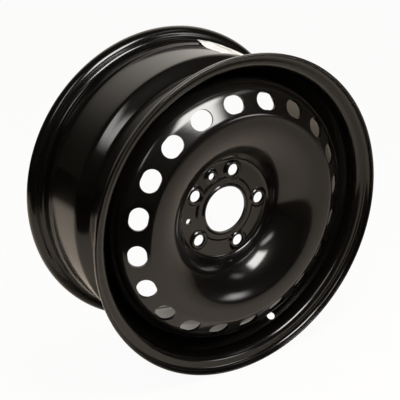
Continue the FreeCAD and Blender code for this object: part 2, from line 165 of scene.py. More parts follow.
class WheelRimSizes(bpy.types.PropertyGroup):
    """Section of the rolled rim, on its tyre side."""
    gauge: length("Sheet", 0.0026, "Thickness of the rim's sheet")
    half_width: length("Half width", 0.0889, "From the middle to the inner face of a flange")
    lip_reach: length("Lip reach", 0.0125, "How far a lip stands out past the flange's inner face")
    lip_radius: length("Lip radius", 0.2201, "Radius of the two flange crests")
    lip_bend: length("Lip bend", 0.0095, "Bend between flange and lip")
    heel_radius: length("Bead seat radius", 0.2028, "Bead seat at the foot of the flange")
    heel_bend: length("Heel bend", 0.0065, "Bend between bead seat and flange")
    toe_radius: length("Toe radius", 0.2012, "Bead seat at its inner end")
    toe_setback: length("Toe setback", 0.0157, "From the flange to the bead seat's inner end")
    toe_bend: length("Toe bend", 0.006, "Bend at the bead seat's inner end")
    hump_radius: length("Hump radius", 0.2026, "Crest of the safety hump")
    hump_setback: length("Hump setback", 0.0207, "From the flange to the hump's crest")
    hump_bend: length("Hump bend", 0.007, "Bend over the hump")
    hump_foot: length("Hump foot", 0.0264, "From the flange to the hump's foot on the long leg")
    well_radius: length("Well radius", 0.1854, "Radius of the drop centre")
    well_front: length("Well front", 0.0452, "From the middle to the front corner of the well")
    well_back: length("Well back", 0.021, "From the middle to the back corner of the well")
    well_bend: length("Well bend", 0.008, "Bends at the bottom of the well")
    leg_radius: length("Leg radius", 0.2004, "Radius of the long leg behind the well")
    leg_front: length("Leg front", 0.006, "From the middle to the front corner of the long leg")
    leg_bend: length("Leg bend", 0.009, "Bend at the leg's front corner")
    valve_radius: length("Valve hole", 0.00575, "Radius of the valve hole")
    valve_angle: angle("Valve angle", 292.5, "Where the valve hole is, round the axle")
    valve_ring: length("Valve ring", 0.1955, "The valve hole's distance from the axle")
    valve_front: length("Valve front", 0.061, "From the middle to the valve hole")
    edge_round: length("Edge rounding", 0.0009, "Rounding of the lips' cut edges")


class WheelDiscSizes(bpy.types.PropertyGroup):
    """Section and holes of the pressed disc, on its outboard face."""
    gauge: length("Sheet", 0.004, "Thickness of the disc's sheet")
    crest: length("Crest", 0.09925, "From the middle to the crest of the front lip")
    bore: length("Bore", 0.03255, "Radius of the centre bore")
    bore_lip: length("Bore lip", 0.0344, "Outer radius of the lip at the bore's mouth")
    bore_lip_foot: length("Bore lip foot", 0.0369, "Radius at the foot of the bore's lip")
    bore_lip_rise: length("Bore lip rise", 0.0018, "How far the bore's lip stands out of the collar")
    bore_lip_bend: length("Bore lip bend", 0.0009, "Bends of the bore's lip")
    collar: length("Collar", 0.0432, "Outer radius of the raised collar round the bore")
    collar_rise: length("Collar rise", 0.0016, "How far the collar stands out")
    collar_foot: length("Collar foot", 0.0462, "Radius at the foot of the collar")
    collar_bend: length("Collar bend", 0.0018, "Bends of the collar")
    pad_depth: length("Pad depth", 0.0508, "Bolting pads behind the lip's crest")
    pad_edge: length("Pad edge", 0.0706, "Radius where the wall leaves the pads")
    pad_bend: length("Pad bend", 0.006, "Bend between pads and wall")
    crown_depth: length("Crown depth", 0.00165, "Crown behind the lip's crest")
    crown_inner: length("Crown inner", 0.0885, "Inner corner of the crown")
    crown_inner_bend: length("Inner bend", 0.0685, "Bend of the crown's inner corner")
    crown_outer: length("Crown outer", 0.1432, "Outer corner of the crown")
    crown_outer_bend: length("Outer bend", 0.012, "Bend of the crown's outer corner")
    flange_radius: length("Flange radius", 0.1828, "Outside of the flange that sits in the well")
    flange_top: length("Flange top", 0.02415, "Front corner of the flange behind the lip's crest")
    flange_bend: length("Flange bend", 0.034, "Bend of the flange's front corner")
    flange_end: length("Flange end", 0.07175, "Edge of the flange behind the lip's crest")
    lug_count: bpy.props.IntProperty(name="Bolt holes", default=5, min=3,
                                     description="Number of bolt holes")
    lug_ring: length("Bolt ring", 0.055, "Radius of the bolt circle")
    lug_angle: angle("Bolt angle", 77.1, "Where the first bolt hole is")
    lug_hole: length("Bolt hole", 0.0079, "Radius of a bolt hole")
    lug_seat: length("Bolt seat", 0.0088, "Radius of a conical seat at its mouth")
    lug_top: length("Boss top", 0.0104, "Radius of a boss at its top")
    lug_foot: length("Boss foot", 0.0147, "Radius of a boss at its foot")
    lug_rise: length("Boss rise", 0.003, "Height of a boss over the pads")
    pin_ring: length("Pin ring", 0.055, "The pin hole's distance from the axle")
    pin_angle: angle("Pin angle", 113.1, "Where the pin hole is")
    pin_hole: length("Pin hole", 0.005, "Radius of the pin hole")
    pin_top: length("Pin boss top", 0.0072, "Radius of the pin hole's boss at its top")
    pin_foot: length("Pin boss foot", 0.0108, "Radius of the pin hole's boss at its foot")
    pin_rise: length("Pin boss rise", 0.002, "Height of the pin hole's boss")
    small_ring: length("Small hole ring", 0.057, "The small hole's distance from the axle")
    small_angle: angle("Small hole angle", 186.0, "Where the small hole is")
    small_hole: length("Small hole", 0.004, "Radius of the small hole")
    vent_count: bpy.props.IntProperty(name="Vents", default=20, min=4,
                                      description="Number of vents")
    vent_ring: length("Vent ring", 0.158, "A vent's distance from the axle")
    vent_angle: angle("Vent angle", 77.34, "Where the first vent is")
    vent_length: length("Vent length", 0.03, "A vent's length round the wheel")
    vent_width: length("Vent width", 0.024, "A vent's width across the slope")


class WheelWeldSizes(bpy.types.PropertyGroup):
    """Fillet welds behind the disc's flange."""
    count: bpy.props.IntProperty(name="Welds", default=8, min=2,
                                 description="Number of weld beads")
    arc: angle("Weld arc", 26.0, "Length of a bead round the wheel")
    leg_rim: length("Leg on rim", 0.003, "Width of a bead on the well")
    leg_disc: length("Leg on disc", 0.0032, "Width of a bead on the flange's edge")
    ripple: length("Ripple", 0.00022, "Height of the ripples along a bead")


class WheelLabelSizes(bpy.types.PropertyGroup):
    """Bare paper label on the long leg, whose back end has come loose over the hump."""
    angle_near: angle("Near edge", 82.2, "Where the label's near edge is, round the axle")
    skew: angle("Skew", 3.2, "How far the loose end leans away from the near edge")
    span: length("Span", 0.07, "Length of the label round the leg")
    back: length("Back edge", 0.08, "From the middle to the label's loose end")
    front: length("Front edge", 0.0015, "From the middle to the label's edge by the well")
    stuck: length("Stuck to", 0.038, "From the middle to where the near edge comes loose")
    lift: length("Lift", 0.004, "How far the loose end stands off the rim")
    paper: length("Paper", 0.00015, "Thickness of the label")
    colour: colour("Paper colour", (0.86, 0.85, 0.83), "Colour of the paper")
    # Painted shade: the grey that the paper takes in the hollows of its creases.
    crease_shade_colour: colour("Crease colour", (0.53, 0.51, 0.48), "Colour of the paper in its creases")
    creases: bpy.props.FloatProperty(name="Creases", default=80.0, min=0.0,
                                     description="Creases of the paper in a metre")


class WheelPaintLook(bpy.types.PropertyGroup):
    """Black dip paint."""
    colour: colour("Paint", (0.0025, 0.0021, 0.0017), "Colour of the paint")
    roughness: bpy.props.FloatProperty(name="Roughness", default=0.32, min=0.0, max=1.0, subtype="FACTOR",
                                       description="Roughness of the soft sheen under the paint's gloss")
    gloss: bpy.props.FloatProperty(name="Gloss roughness", default=0.09, min=0.0, max=1.0, subtype="FACTOR",
                                   description="Roughness of the paint's gloss")
    peel: bpy.props.FloatProperty(name="Orange peel", default=0.03, min=0.0, max=1.0, subtype="FACTOR",
                                  description="Strength of the paint's fine waviness")


class WheelStageLook(bpy.types.PropertyGroup):
    """Floor, light and camera."""
    floor_colour: colour("Floor", (0.88, 0.79, 0.68), "Colour of the floor")
    floor_edge: length("Floor edge", 0.5, "Where the floor's reflection ends, towards the camera")
    floor_back: length("Floor back", 1.0, "Where the floor's reflection ends, behind the wheel")
    room_colour: colour("Room", (0.034, 0.029, 0.023), "Light of the dim room")
    lamp_colour: colour("Lamps", (1.0, 0.975, 0.95), "Colour of the lamps")
    wall_colour: colour("Wall", (1.0, 0.93, 0.84), "Light of the wall behind the wheel")
    azimuth: angle("Azimuth", -33.010, "Camera's angle round the wheel")
    elevation: angle("Elevation", 22.103, "Camera's angle above the horizon")
    distance: length("Distance", 1.1951, "From the middle of the front lip to the camera, along the view")
    aside: length("Aside", -0.06045, "Camera's shift to the right")
    lift: length("Lift", 0.02765, "Camera's shift upwards")
    lens: bpy.props.FloatProperty(name="Lens", default=82.766, subtype="DISTANCE_CAMERA", unit="CAMERA",
                                  description="Focal length in millimetres on a 36 mm sensor")


def run_to(bm, tip, target, stride):
    """Carry a line straight on to a point, in even steps."""
    reach = target - tip.co
    count = max(1, math.ceil(reach.length / stride))
    for _ in range(count):
        tip = bmesh.ops.extrude_vert_indiv(bm, verts=[tip])["verts"][0]
        bmesh.ops.translate(bm, verts=[tip], vec=reach / count)
    return tip


def bend_line(bm, corners, stride, arc_stride):
    """Draw the section of a sheet as one line: straight runs with a round bend at each corner.
    A corner is (distance from the axle, place along the axle, bend radius)."""
    points = [Vector((x, y, 0.0)) for x, y, _ in corners]
    tip = bm.verts.new(points[0])
    for i in range(1, len(points) - 1):
        back = (points[i - 1] - points[i]).normalized()
        ahead = (points[i + 1] - points[i]).normalized()
        half = back.angle(ahead) / 2
        radius = corners[i][2]
        centre = points[i] + (back + ahead).normalized() * (radius / math.sin(half))
        side = 1.0 if ahead.cross(back).z > 0 else -1.0
        tip = run_to(bm, tip, points[i] + back * (radius / math.tan(half)), stride)
        turn = math.pi - 2 * half
        steps = max(LEAST_BEND_STEPS, math.ceil(turn / BEND_TURN), math.ceil(radius * turn / arc_stride))
        bent = bmesh.ops.spin(bm, geom=[tip], cent=centre, axis=(0.0, 0.0, side), angle=turn, steps=steps)
        tip = [part for part in bent["geom_last"] if isinstance(part, bmesh.types.BMVert)][0]
        goal = points[i] + ahead * (radius / math.tan(half))
        if (tip.co - goal).length > SAME_PLACE:
            raise RuntimeError("a bend of the section went the wrong way")
    return run_to(bm, tip, points[-1], stride)


def turn_round(bm):
    """Spin the whole section round the axle."""
    bmesh.ops.spin(bm, geom=bm.verts[:] + bm.edges[:], cent=CENTRE, axis=AXLE, angle=FULL_TURN,
                   steps=WHEEL_SEGMENTS, use_merge=True)
    bmesh.ops.remove_doubles(bm, verts=bm.verts[:], dist=MERGE_REACH)
    bmesh.ops.recalc_face_normals(bm, faces=bm.faces[:])


def repeat_round(bm, count):
    """Copy what is there round the axle, so that there are so many of it at even angles."""
    steps = count - 1
    bmesh.ops.spin(bm, geom=bm.verts[:] + bm.edges[:] + bm.faces[:], cent=CENTRE, axis=AXLE,
                   angle=FULL_TURN * steps / count, steps=steps, use_duplicate=True)


def face_towards(bm, probe, direction):
    """Turn a shell so that its face nearest to a point looks in a direction."""
    nearest = min(bm.faces, key=lambda face: (face.calc_center_median() - probe).length)
    if nearest.normal.dot(direction) < 0:
        bmesh.ops.reverse_faces(bm, faces=bm.faces[:])


def into_object(bm, name):
    """Make a mesh object at the origin from a bmesh."""
    mesh = bpy.data.meshes.new(name)
    bm.to_mesh(mesh)
    bm.free()
    made = bpy.data.objects.new(name, mesh)
    bpy.context.scene.collection.objects.link(made)
    return made


def on_ring(ring, turn, along):
    """A point at a distance from the axle, an angle round it and a place along it."""
    return Vector((ring * math.cos(turn), along, ring * math.sin(turn)))


def looking(place, outward, turn):
    """A frame at a place whose Z looks outward and whose X runs round the wheel."""
    tangent = Vector((-math.sin(turn), 0.0, math.cos(turn)))
    up = outward.cross(tangent)
    return Matrix.Translation(place) @ Matrix((tangent, up, outward)).transposed().to_4x4()


def ease(share):
    """A share from 0 to 1 that starts and ends softly."""
    return share * share * (3.0 - 2.0 * share)


def add_plug(bm, place, low, high, depth):
    """A round cutter along its frame's Z, from its foot at the place."""
    shift = place @ Matrix.Translation((0.0, 0.0, depth / 2))
    bmesh.ops.create_cone(bm, cap_ends=True, segments=HOLE_SEGMENTS, radius1=low, radius2=high, depth=depth,
                          matrix=shift)


def give_thickness(made, name, gauge, even):
    """Thicken a sheet away from its drawn face when its modifiers are applied."""
    wall = made.modifiers.new(name, "SOLIDIFY")
    wall.thickness = gauge
    wall.offset = -1.0
    wall.use_even_offset = even


def cut_away(target, cutter):
    """Take a cutter's shape out of a piece when its modifiers are applied."""
    cut = target.modifiers.new(cutter.name, "BOOLEAN")
    cut.operation = "DIFFERENCE"
    cut.solver = "MANIFOLD"
    cut.object = cutter


def apply_all(made, helpers=()):
    """Replace a piece's mesh by the one that its modifiers make, and drop the cutters."""
    bpy.context.view_layer.update()
    graph = bpy.context.evaluated_depsgraph_get()
    mesh = bpy.data.meshes.new_from_object(made.evaluated_get(graph))
    mesh.name = made.name
    made.modifiers.clear()
    made.data = mesh
    for helper in helpers:
        bpy.data.objects.remove(helper)


def smooth_over(made, sharp):
    """Shade a piece smoothly, apart from edges sharper than an angle."""
    made.data.shade_smooth()
    made.data.set_sharp_from_angle(angle=sharp)


def math_node(nodes, operation):
    """A node that works out a number."""
    made = nodes.new("ShaderNodeMath")
    made.operation = operation
    return made


def soft_range(nodes, start, end):
    """A node that goes softly from 0 at one value to 1 at another."""
    made = nodes.new("ShaderNodeMapRange")
    made.interpolation_type = "SMOOTHSTEP"
    made.inputs["From Min"].default_value = start
    made.inputs["From Max"].default_value = end
    return made


def along_way(nodes, way):
    """A node that says how far a place or a direction goes along a way."""
    made = nodes.new("ShaderNodeVectorMath")
    made.operation = "DOT_PRODUCT"
    made.inputs[1].default_value = way
    return made


def black_paint(look):
    """Gloss black dip paint with a very fine waviness."""
    paint = bpy.data.materials.new("black_dip_paint")
    paint.use_nodes = True
    nodes = paint.node_tree.nodes
    links = paint.node_tree.links
    shader = nodes["Principled BSDF"]
    shader.inputs["Base Color"].default_value = (*look.colour, 1.0)
    shader.inputs["Roughness"].default_value = look.roughness
    shader.inputs["IOR"].default_value = PAINT_IOR
    shader.inputs["Specular IOR Level"].default_value = PAINT_SHEEN
    shader.inputs["Coat Weight"].default_value = 1.0
    shader.inputs["Coat Roughness"].default_value = look.gloss
    shader.inputs["Coat IOR"].default_value = GLOSS_IOR
    place = nodes.new("ShaderNodeTexCoord")
    waves = nodes.new("ShaderNodeTexNoise")
    waves.inputs["Scale"].default_value = PEEL_SCALE
    waves.inputs["Detail"].default_value = PEEL_DETAIL
    bump = nodes.new("ShaderNodeBump")
    bump.inputs["Strength"].default_value = look.peel
    bump.inputs["Distance"].default_value = PEEL_DEPTH
    links.new(place.outputs["Object"], waves.inputs["Vector"])
    links.new(waves.outputs["Fac"], bump.inputs["Height"])
    links.new(bump.outputs["Normal"], shader.inputs["Normal"])
    links.new(bump.outputs["Normal"], shader.inputs["Coat Normal"])
    return paint


def shared_paint():
    """The one paint of all steel pieces, made when it is first asked for."""
    paint = bpy.data.materials.get("black_dip_paint")
    return paint or black_paint(bpy.context.scene.wheel_paint)


class WHEEL_OT_rim(bpy.types.Operator):
    """Roll the rim from one strip and pierce its valve hole"""
    bl_idname = "wheel.rim"
    bl_label = "Rim"

    def execute(self, context):
        s = context.scene.wheel_rim
        corners = [
            (s.lip_radius, -s.half_width - s.lip_reach, 0.0),
            (s.lip_radius, -s.half_width, s.lip_bend),
            (s.heel_radius, -s.half_width, s.heel_bend),
            (s.toe_radius, -s.half_width + s.toe_setback, s.toe_bend),
            (s.hump_radius, -s.half_width + s.hump_setback, s.hump_bend),
            (s.well_radius, -s.well_front, s.well_bend),
            (s.well_radius, -s.well_back, s.well_bend),
            (s.leg_radius, -s.leg_front, s.leg_bend),
            (s.leg_radius, s.half_width - s.hump_foot, s.toe_bend),
            (s.hump_radius, s.half_width - s.hump_setback, s.hump_bend),
            (s.toe_radius, s.half_width - s.toe_setback, s.toe_bend),
            (s.heel_radius, s.half_width, s.heel_bend),
            (s.lip_radius, s.half_width, s.lip_bend),
            (s.lip_radius, s.half_width + s.lip_reach, 0.0),
        ]
        bm = bmesh.new()
        bend_line(bm, corners, RIM_RUN_STEP, RIM_BEND_STEP)
        turn_round(bm)
        face_towards(bm, Vector((s.leg_radius, LEG_PROBE, 0.0)), Vector((1.0, 0.0, 0.0)))
        rim = into_object(bm, "wheel_rim")
        give_thickness(rim, "sheet", s.gauge, even=True)
        edge = rim.modifiers.new("edges", "BEVEL")
        edge.width = s.edge_round
        edge.segments = LIP_EDGE_STEPS
        edge.limit_method = "ANGLE"
        edge.angle_limit = LIP_EDGE_TURN
        slope = Vector((s.hump_radius - s.well_radius, s.half_width - s.hump_setback - s.well_front))
        radial = on_ring(1.0, s.valve_angle, 0.0)
        outward = (radial * slope.y + AXLE * slope.x).normalized()
        place = looking(on_ring(s.valve_ring, s.valve_angle, -s.valve_front), outward, s.valve_angle)
        foot = place @ Matrix.Translation((0.0, 0.0, -VALVE_CUT / 2))
        bm = bmesh.new()
        add_plug(bm, foot, s.valve_radius, s.valve_radius, VALVE_CUT)
        cutter = into_object(bm, "valve_cutter")
        cut_away(rim, cutter)
        apply_all(rim, [cutter])
        smooth_over(rim, RIM_SHARP)
        rim.data.materials.clear()
        rim.data.materials.append(shared_paint())
        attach(rim, "root")
        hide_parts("rim")
        return {"FINISHED"}


class WHEEL_OT_disc(bpy.types.Operator):
    """Press the disc from one blank and pierce its vents, bolt holes and bore"""
    bl_idname = "wheel.disc"
    bl_label = "Disc"

    def lug_turns(self, s):
        """The bolt holes' angles round the axle."""
        return [s.lug_angle + i * FULL_TURN / s.lug_count for i in range(s.lug_count)]

    def press_bosses(self, bm, s):
        """Lift the pads into a soft-edged boss round each bolt hole and round the pin hole."""
        bosses = [(on_ring(s.lug_ring, turn, 0.0), s.lug_top, s.lug_foot, s.lug_rise)
                  for turn in self.lug_turns(s)]
        bosses.append((on_ring(s.pin_ring, s.pin_angle, 0.0), s.pin_top, s.pin_foot, s.pin_rise))
        for vert in bm.verts:
            rise = 0.0
            for middle, top, foot, height in bosses:
                away = math.hypot(vert.co.x - middle.x, vert.co.z - middle.z)
                share = min(1.0, max(0.0, (foot - away) / (foot - top)))
                rise = max(rise, height * ease(share))
            vert.co.y -= rise

    def vent_cutter(self, s):
        """Obround plugs, one for each vent, square to the disc's outer slope."""
        bm = bmesh.new()
        bmesh.ops.create_circle(bm, cap_ends=True, segments=VENT_SEGMENTS, radius=s.vent_width / 2)
        half_run = (s.vent_length - s.vent_width) / 2
        for vert in bm.verts:
            if abs(vert.co.x) > MERGE_REACH:
                vert.co.x += math.copysign(half_run, vert.co.x)
        plug = bmesh.ops.extrude_face_region(bm, geom=bm.faces[:])
        raised = [part for part in plug["geom"] if isinstance(part, bmesh.types.BMVert)]
        bmesh.ops.translate(bm, verts=raised, vec=(0.0, 0.0, VENT_CUT))
        bmesh.ops.translate(bm, verts=bm.verts[:], vec=(0.0, 0.0, -VENT_CUT / 2))
        radial = on_ring(1.0, s.vent_angle, 0.0)
        fall = (s.flange_top - s.crown_depth) / (s.flange_radius - s.crown_outer)
        outward = (OUTBOARD + radial * fall).normalized()
        depth = s.crown_depth + (s.vent_ring - s.crown_outer) * fall
        middle = on_ring(s.vent_ring, s.vent_angle, -s.crest + depth)
        bmesh.ops.transform(bm, matrix=looking(middle, outward, s.vent_angle), verts=bm.verts[:])
        repeat_round(bm, s.vent_count)
        bmesh.ops.recalc_face_normals(bm, faces=bm.faces[:])
        return into_object(bm, "vent_cutter")

    def hole_cutter(self, s):
        """Straight plugs for the bolt holes and the two small holes."""
        bm = bmesh.new()
        behind = -s.crest + s.pad_depth + s.gauge + CUT_CLEAR
        holes = [(s.lug_ring, turn, s.lug_hole) for turn in self.lug_turns(s)]
        holes.append((s.pin_ring, s.pin_angle, s.pin_hole))
        holes.append((s.small_ring, s.small_angle, s.small_hole))
        for ring, turn, radius in holes:
            add_plug(bm, looking(on_ring(ring, turn, behind), OUTBOARD, turn), radius, radius, HOLE_CUT)
        bmesh.ops.recalc_face_normals(bm, faces=bm.faces[:])
        return into_object(bm, "hole_cutter")

    def seat_cutter(self, s):
        """Conical plugs for the bolt seats, 60 degrees across."""
        bm = bmesh.new()
        fall = (s.lug_seat - s.lug_hole) * SEAT_FALL
        deep = -s.crest + s.pad_depth - s.lug_rise + fall
        for turn in self.lug_turns(s):
            add_plug(bm, looking(on_ring(s.lug_ring, turn, deep), OUTBOARD, turn), s.lug_hole,
                     s.lug_seat + CUT_CLEAR / SEAT_FALL, fall + CUT_CLEAR)
        bmesh.ops.recalc_face_normals(bm, faces=bm.faces[:])
        return into_object(bm, "seat_cutter")

    def execute(self, context):
        s = context.scene.wheel_disc
        collar_along = -s.crest + s.pad_depth - s.collar_rise
        pads_along = -s.crest + s.pad_depth
        crown_along = -s.crest + s.crown_depth
        corners = [
            (s.bore, collar_along - s.bore_lip_rise, 0.0),
            (s.bore_lip, collar_along - s.bore_lip_rise, s.bore_lip_bend),
            (s.bore_lip_foot, collar_along, s.bore_lip_bend),
            (s.collar, collar_along, s.collar_bend),
            (s.collar_foot, pads_along, s.collar_bend),
            (s.pad_edge, pads_along, s.pad_bend),
            (s.crown_inner, crown_along, s.crown_inner_bend),
            (s.crown_outer, crown_along, s.crown_outer_bend),
            (s.flange_radius, -s.crest + s.flange_top, s.flange_bend),
            (s.flange_radius, -s.crest + s.flange_end, 0.0),
        ]
        bm = bmesh.new()
        bend_line(bm, corners, DISC_RUN_STEP, DISC_BEND_STEP)
        turn_round(bm)
        on_pads = on_ring(s.pad_edge * PAD_PROBE_SHARE, s.small_angle + PAD_PROBE_TURN, pads_along)
        face_towards(bm, on_pads, OUTBOARD)
        self.press_bosses(bm, s)
        disc = into_object(bm, "wheel_disc_pressing")
        give_thickness(disc, "sheet", s.gauge, even=True)
        cutters = [self.vent_cutter(s), self.hole_cutter(s), self.seat_cutter(s)]
        for cutter in cutters:
            cut_away(disc, cutter)
        apply_all(disc, cutters)
        smooth_over(disc, DISC_SHARP)
        disc.data.materials.clear()
        disc.data.materials.append(shared_paint())
        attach(disc, "root")
        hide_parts("wheel_disc")
        return {"FINISHED"}


class WHEEL_OT_welds(bpy.types.Operator):
    """Lay the rippled fillet welds between the disc's flange and the well"""
    bl_idname = "wheel.welds"
    bl_label = "Welds"

    def execute(self, context):
        s = context.scene.wheel_weld
        d = context.scene.wheel_disc
        corner = Vector((d.flange_radius, -d.crest + d.flange_end, 0.0))
        bm = bmesh.new()
        tip = bm.verts.new(corner + Vector((0.0, s.leg_rim, 0.0)))
        first = tip
        reach = Vector((-s.leg_disc, -s.leg_rim, 0.0))
        swell = Vector((-s.leg_rim, s.leg_disc, 0.0)).normalized() * WELD_SWELL
        for i in range(1, WELD_FACE_STEPS + 1):
            share = i / WELD_FACE_STEPS
            goal = first.co + reach * share + swell * math.sin(math.pi * share)
            tip = run_to(bm, tip, goal, WHOLE_RUN)
        tip = run_to(bm, tip, corner, WHOLE_RUN)
        bm.edges.new((tip, first))
        bmesh.ops.contextual_create(bm, geom=bm.edges[:])
        bead = bmesh.ops.spin(bm, geom=bm.faces[:], cent=CENTRE, axis=AXLE, angle=s.arc,
                              steps=WELD_SEGMENTS)
        if not bead["geom_last"]:
            raise RuntimeError("the weld bead was not made")
        bmesh.ops.recalc_face_normals(bm, faces=bm.faces[:])
        for vert in bm.verts:
            ring = math.hypot(vert.co.x, vert.co.z)
            if ring < corner.x - SAME_PLACE and vert.co.y > corner.y + SAME_PLACE:
                turn = math.atan2(vert.co.z, vert.co.x)
                wave = math.sin(turn * WELD_RIPPLES) * s.ripple
                vert.co -= on_ring(wave, turn, 0.0) - AXLE * wave
        repeat_round(bm, s.count)
        welds = into_object(bm, "weld_bead_ripples")
        smooth_over(welds, WELD_SHARP)
        welds.data.materials.append(shared_paint())
        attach(welds, "root")
        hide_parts("weld_beads")
        return {"FINISHED"}


class WHEEL_OT_label(bpy.types.Operator):
    """Stick a bare paper label on the long leg"""
    bl_idname = "wheel.label"
    bl_label = "Label"

    def creased_paper(self, s):
        """Bare paper with soft creases, and painted shade that greys the paper in their hollows."""
        paper = bpy.data.materials.new("bare_paper")
        paper.use_nodes = True
        nodes = paper.node_tree.nodes
        links = paper.node_tree.links
        shader = nodes["Principled BSDF"]
        shader.inputs["Roughness"].default_value = PAPER_ROUGHNESS
        place = nodes.new("ShaderNodeTexCoord")
        along = nodes.new("ShaderNodeMapping")
        along.inputs["Scale"].default_value = CREASE_RUN
        creases = nodes.new("ShaderNodeTexNoise")
        creases.inputs["Scale"].default_value = s.creases
        creases.inputs["Detail"].default_value = CREASE_DETAIL
        creases.inputs["Distortion"].default_value = CREASE_TWIST
        # Painted shade: where the crease noise is low, in the bump's hollows, the paper turns to the crease
        # shade colour.
        depth = soft_range(nodes, CREASE_FULL_SHADE, CREASE_NO_SHADE)
        tone = nodes.new("ShaderNodeMix")
        tone.data_type = "RGBA"
        tone.inputs["A"].default_value = (*s.crease_shade_colour, 1.0)
        tone.inputs["B"].default_value = (*s.colour, 1.0)
        bump = nodes.new("ShaderNodeBump")
        bump.inputs["Strength"].default_value = CREASE_STRENGTH
        bump.inputs["Distance"].default_value = CREASE_DEPTH
        links.new(place.outputs["Object"], along.inputs["Vector"])
        links.new(along.outputs["Vector"], creases.inputs["Vector"])
        links.new(creases.outputs["Fac"], depth.inputs["Value"])
        links.new(depth.outputs["Result"], tone.inputs["Factor"])
        links.new(tone.outputs["Result"], shader.inputs["Base Color"])
        links.new(creases.outputs["Fac"], bump.inputs["Height"])
        links.new(bump.outputs["Normal"], shader.inputs["Normal"])
        return paper

    def execute(self, context):
        s = context.scene.wheel_label
        radius = context.scene.wheel_rim.leg_radius + s.paper * LABEL_HEIGHT
        width = s.back - s.front
        cells_across, cells_along = LABEL_CELLS
        bm = bmesh.new()
        # A flat sheet of one unit, from -0.5 to 0.5 each way, which is then wrapped on the leg.
        bmesh.ops.create_grid(bm, x_segments=cells_across, y_segments=cells_along, size=0.5)
        for vert in bm.verts:
            across = vert.co.x + 0.5
            along = s.front + (vert.co.y + 0.5) * width
            lean = s.skew * max(0.0, (along - s.stuck) / (s.back - s.stuck)) * (1.0 - across)
            turn = s.angle_near - lean - across * s.span / radius
            start = s.stuck * (1.0 - across)
            share = max(0.0, (along - start) / (s.back - start))
            vert.co = on_ring(radius + s.lift * ease(share), turn, along)
        bmesh.ops.recalc_face_normals(bm, faces=bm.faces[:])
        face_towards(bm, Vector((0.0, LEG_PROBE, radius)), Vector((0.0, 0.0, 1.0)))
        label = into_object(bm, "bare_label")
        give_thickness(label, "paper", s.paper, even=False)
        apply_all(label)
        smooth_over(label, LABEL_SHARP)
        label.data.materials.append(self.creased_paper(s))
        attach(label, "root")
        return {"FINISHED"}


